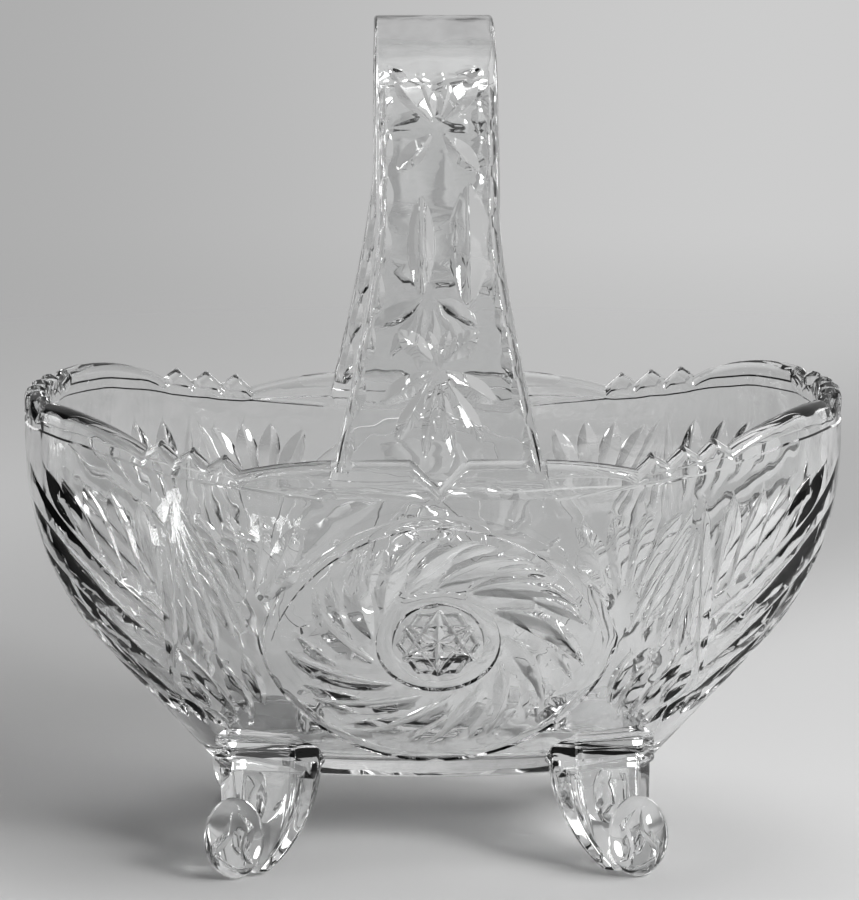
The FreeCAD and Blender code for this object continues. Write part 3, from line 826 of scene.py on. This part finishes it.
def handle_cuts():
    """Two stars, a wide and a narrow tall hollow and scalloped edges on the front leg of the arch."""
    cuts = [
        cutter(path_on(handle_place, (7.0, 61.5), (7.0, 92.0), 13), 1.9, 63.5, 0.7),
        cutter(path_on(handle_place, (-3.9, 64.5), (-3.9, 89.5), 13), 1.3, 63.5, 0.5),
    ]
    for side in (-1, 1):
        edge_line = [edge_place(side, 35.0 + 3.2 * stop) for stop in range(28)]
        cuts.append(cutter(edge_line, 0.6, 38.0, 0.05, deck=0.8, even=True))
        for run, degrees, inner, outer, depth, bias in STAR_RAYS:
            cuts.append(handle_ray(run, side * degrees, inner, outer, depth, bias))
        for step in range(1, SCALLOPS + 1):
            start = SCALLOP_START + SCALLOP_PITCH * step
            path = [edge_place(side, start + SCALLOP_PITCH * stop / 8) for stop in range(9)]
            cuts.append(cutter(path, 1.25, 54.0, 0.15))
    return cuts


# Shader maths

class Socket:
    """One node output that takes part in Python sums."""

    def __init__(self, tree, output):
        self.tree = tree
        self.output = output

    def other(self, name):
        """Another output of the same node."""
        return Socket(self.tree, self.output.node.outputs[name])

    def maths(self, operation, *values):
        node = self.tree.nodes.new("ShaderNodeMath")
        node.operation = operation
        for place, value in zip(node.inputs, values):
            if isinstance(value, Socket):
                self.tree.links.new(value.output, place)
            else:
                place.default_value = value
        return Socket(self.tree, node.outputs[0])

    def __add__(self, other):
        return self.maths("ADD", self, other)

    def __radd__(self, other):
        return self.maths("ADD", other, self)

    def __sub__(self, other):
        return self.maths("SUBTRACT", self, other)

    def __rsub__(self, other):
        return self.maths("SUBTRACT", other, self)

    def __mul__(self, other):
        return self.maths("MULTIPLY", self, other)

    def __rmul__(self, other):
        return self.maths("MULTIPLY", other, self)

    def most(self, other):
        return self.maths("MAXIMUM", self, other)


def node_of(tree, kind, settings, values, output=0):
    """Any node: its type, then its settings, then its socket values or links."""
    node = tree.nodes.new(kind)
    for name, value in settings.items():
        setattr(node, name, value)
    for name, value in values.items():
        if isinstance(value, Socket):
            tree.links.new(value.output, node.inputs[name])
        else:
            node.inputs[name].default_value = value
    return Socket(tree, node.outputs[output])


def smooth_step(tree, value, low, high, start=0.0, end=1.0):
    return node_of(tree, "ShaderNodeMapRange", {"interpolation_type": "SMOOTHSTEP"}, {
        "Value": value, "From Min": low, "From Max": high, "To Min": start, "To Max": end,
    })


def dot_with(tree, vector, direction):
    """Dot product with a direction of any length, taken as a unit."""
    unit = Vector(direction).normalized()
    return node_of(tree, "ShaderNodeVectorMath", {"operation": "DOT_PRODUCT"}, {0: vector, 1: unit}, "Value")


# Glass

def glass_material():
    """Clear pressed glass with the faint ripples of its mould."""
    material = bpy.data.materials.new("clear_pressed_glass")
    material.use_nodes = True
    tree = material.node_tree
    shader = tree.nodes["Principled BSDF"]
    shader.inputs["Base Color"].default_value = (0.948, 0.952, 0.952, 1.0)
    shader.inputs["Transmission Weight"].default_value = 1.0
    shader.inputs["IOR"].default_value = 1.5
    place = node_of(tree, "ShaderNodeTexCoord", {}, {}, "Object")
    broad = node_of(tree, "ShaderNodeTexNoise", {}, {"Vector": place, "Scale": 55.0, "Detail": 1.0})
    fine = node_of(tree, "ShaderNodeTexNoise", {}, {"Vector": place, "Scale": 260.0, "Detail": 0.0})
    ripple = {"Strength": 0.3, "Distance": 0.0012, "Height": broad + fine * 0.12}
    normal = node_of(tree, "ShaderNodeBump", {}, ripple, "Normal")
    tree.links.new(normal.output, shader.inputs["Normal"])
    haze = smooth_step(tree, fine, 0.35, 0.8, 0.0, 0.03)
    tree.links.new(haze.output, shader.inputs["Roughness"])
    return material


def build_basket():
    """Bowl, handle and feet in one skin, with all decoration cut into it."""
    body = bowl_piece()
    hollow = hollow_piece()
    feet = []
    for side in (-1, 1):
        for front in (-1, 1):
            feet += foot_pieces(side, front)
    stand = feet[0]
    combine(stand, feet[1:], "UNION")
    combine(stand, [hollow], "DIFFERENCE")
    combine(body, [stand, handle_piece()], "UNION")
    cuts = medallion_cuts() + corner_leaves(1) + corner_leaves(-1) + handle_cuts()
    for side in (1, -1):
        cuts += bead_cuts(side) + [leg_flute(side)]
    combine(body, tool_pieces(cuts), "DIFFERENCE")
    body.name = "glass_basket_body"
    body.data.shade_smooth()
    body.data.set_sharp_from_angle(angle=math.radians(32))
    even = body.modifiers.new("even_shading", "WEIGHTED_NORMAL")
    even.keep_sharp = True
    body.data.materials.clear()
    body.data.materials.append(glass_material())
    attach(body, "root")
    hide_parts("glass_basket")


# Studio

BACKDROP_LEFT = 0.41
BACKDROP_RISE = 0.2
ROOM_SHARE = 0.26
LIGHTS_IN_GLASS = (
    ((-0.1, 0.05, 1.0), 0.86, 0.9, 0.7),
    ((-0.5, -0.8, 0.35), 0.96, 0.97, 1.6),
    ((0.4, 0.9, 0.14), 0.992, 0.996, 3.0),
    ((-0.44, 0.88, 0.2), 0.992, 0.996, 3.0),
    ((0.78, 0.6, 0.12), 0.992, 0.996, 3.0),
    ((-0.86, 0.45, -0.12), 0.992, 0.996, 3.0),
)
SHADE_LEFT = ((-0.9, 0.2, 0.1), 0.72, 0.9, 0.85)
SHADE_FRONT = ((0.0, -1.0, 0.0), 0.1, 0.8, 0.6)
PAPER_TONE = 0.66
# How much the painted shadow darkens the paper in a band behind and to the left
PAINTED_SHADOW_DEPTH = 0.16
FLOOR_RADIUS = 1.3
LAMP_TARGET = (0.0, 0.0, 0.08)
LAMPS = (
    ("key", (1.25, -0.95, 0.98), 0.6, 22.0, True),
    ("side", (1.42, -0.3, 1.14), 0.7, 12.0, False),
    ("top", (0.1, 0.3, 1.6), 1.0, 1.5, True),
    ("sky", (0.1, 0.25, 1.7), 0.9, 7.5, False),
)


def studio_world():
    """Backdrop that brightens to the right, with lights and shades that only the glass shows.

    Matt surfaces get only a share of the backdrop's light.
    """
    world = bpy.data.worlds.new("studio")
    bpy.context.scene.world = world
    world.use_nodes = True
    tree = world.node_tree
    way = node_of(tree, "ShaderNodeTexCoord", {}, {}, "Generated")

    def patch(direction, low, high, strength):
        """A soft-edged round patch of the sky."""
        return smooth_step(tree, dot_with(tree, way, direction), low, high) * strength

    backdrop = BACKDROP_LEFT + patch((1.0, 0.0, 0.0), -0.12, 0.12, BACKDROP_RISE)
    lights = patch(*LIGHTS_IN_GLASS[0])
    for light in LIGHTS_IN_GLASS[1:]:
        lights = lights + patch(*light)
    shade = (1.0 - patch(*SHADE_LEFT)) * (1.0 - patch(*SHADE_FRONT))
    camera = node_of(tree, "ShaderNodeLightPath", {}, {}, "Is Camera Ray")
    mirrored = camera.other("Is Glossy Ray").most(camera.other("Is Transmission Ray"))
    glass = mirrored * (1.0 - camera)
    seen = backdrop * shade * 0.92 + lights
    room = backdrop * ROOM_SHARE
    strength = backdrop * camera + seen * glass + room * (1.0 - camera.most(glass))
    tree.links.new(strength.output, tree.nodes["Background"].inputs["Strength"])
    tree.nodes["Background"].inputs["Color"].default_value = (1.0, 1.0, 1.0, 1.0)


def paper_material():
    """Matt pale paper with a painted shadow, a soft darker band behind and to the left, that fades into the
    backdrop far away.
    """
    paper = bpy.data.materials.new("pale_paper")
    paper.use_nodes = True
    tree = paper.node_tree
    shader = tree.nodes["Principled BSDF"]
    shader.inputs["Roughness"].default_value = 0.9
    shader.inputs["Specular IOR Level"].default_value = 0.1
    place = node_of(tree, "ShaderNodeTexCoord", {}, {}, "Object")
    # Painted shadow: the paper's tone dips in a soft band behind and to the left of the basket
    away = dot_with(tree, place, (-1.0, 1.0, 0.0))
    painted_shadow_start = smooth_step(tree, away, 0.04, 0.16)
    painted_shadow_end = smooth_step(tree, away, 0.22, 0.42, PAINTED_SHADOW_DEPTH, 0.0)
    tone_with_painted_shadow = PAPER_TONE - painted_shadow_start * painted_shadow_end
    tree.links.new(tone_with_painted_shadow.output, shader.inputs["Base Color"])
    reach = node_of(tree, "ShaderNodeVectorMath", {"operation": "LENGTH"}, {0: place}, "Value")
    gone = smooth_step(tree, reach, 0.35, 1.1)
    matt = Socket(tree, shader.outputs[0])
    clear = node_of(tree, "ShaderNodeBsdfTransparent", {}, {})
    blend = node_of(tree, "ShaderNodeMixShader", {}, {0: gone, 1: matt, 2: clear})
    tree.links.new(blend.output, tree.nodes["Material Output"].inputs["Surface"])
    return paper


def studio_floor():
    """Round sheet of paper under the basket."""
    mesh = bpy.data.meshes.new("floor")
    build = bmesh.new()
    bmesh.ops.create_circle(build, cap_ends=True, segments=96, radius=FLOOR_RADIUS)
    build.to_mesh(mesh)
    build.free()
    floor = new_piece("floor", mesh)
    mesh.materials.append(paper_material())


def studio_lamps():
    """Square lamps aimed at the bowl; those that glass doesn't show only shape the floor's shadow."""
    for name, spot, size, energy, shown in LAMPS:
        light = bpy.data.lights.new(name, "AREA")
        light.shape = "SQUARE"
        light.size = size
        light.energy = energy
        lamp = bpy.data.objects.new(name, light)
        bpy.context.scene.collection.objects.link(lamp)
        lamp.visible_glossy = shown
        lamp.visible_transmission = shown
        lamp.location = spot
        lamp.rotation_euler = (Vector(LAMP_TARGET) - Vector(spot)).to_track_quat("-Z", "Y").to_euler()


bpy.context.scene.view_settings.view_transform = "Standard"
place_camera()
build_basket()
studio_world()
studio_floor()
studio_lamps()
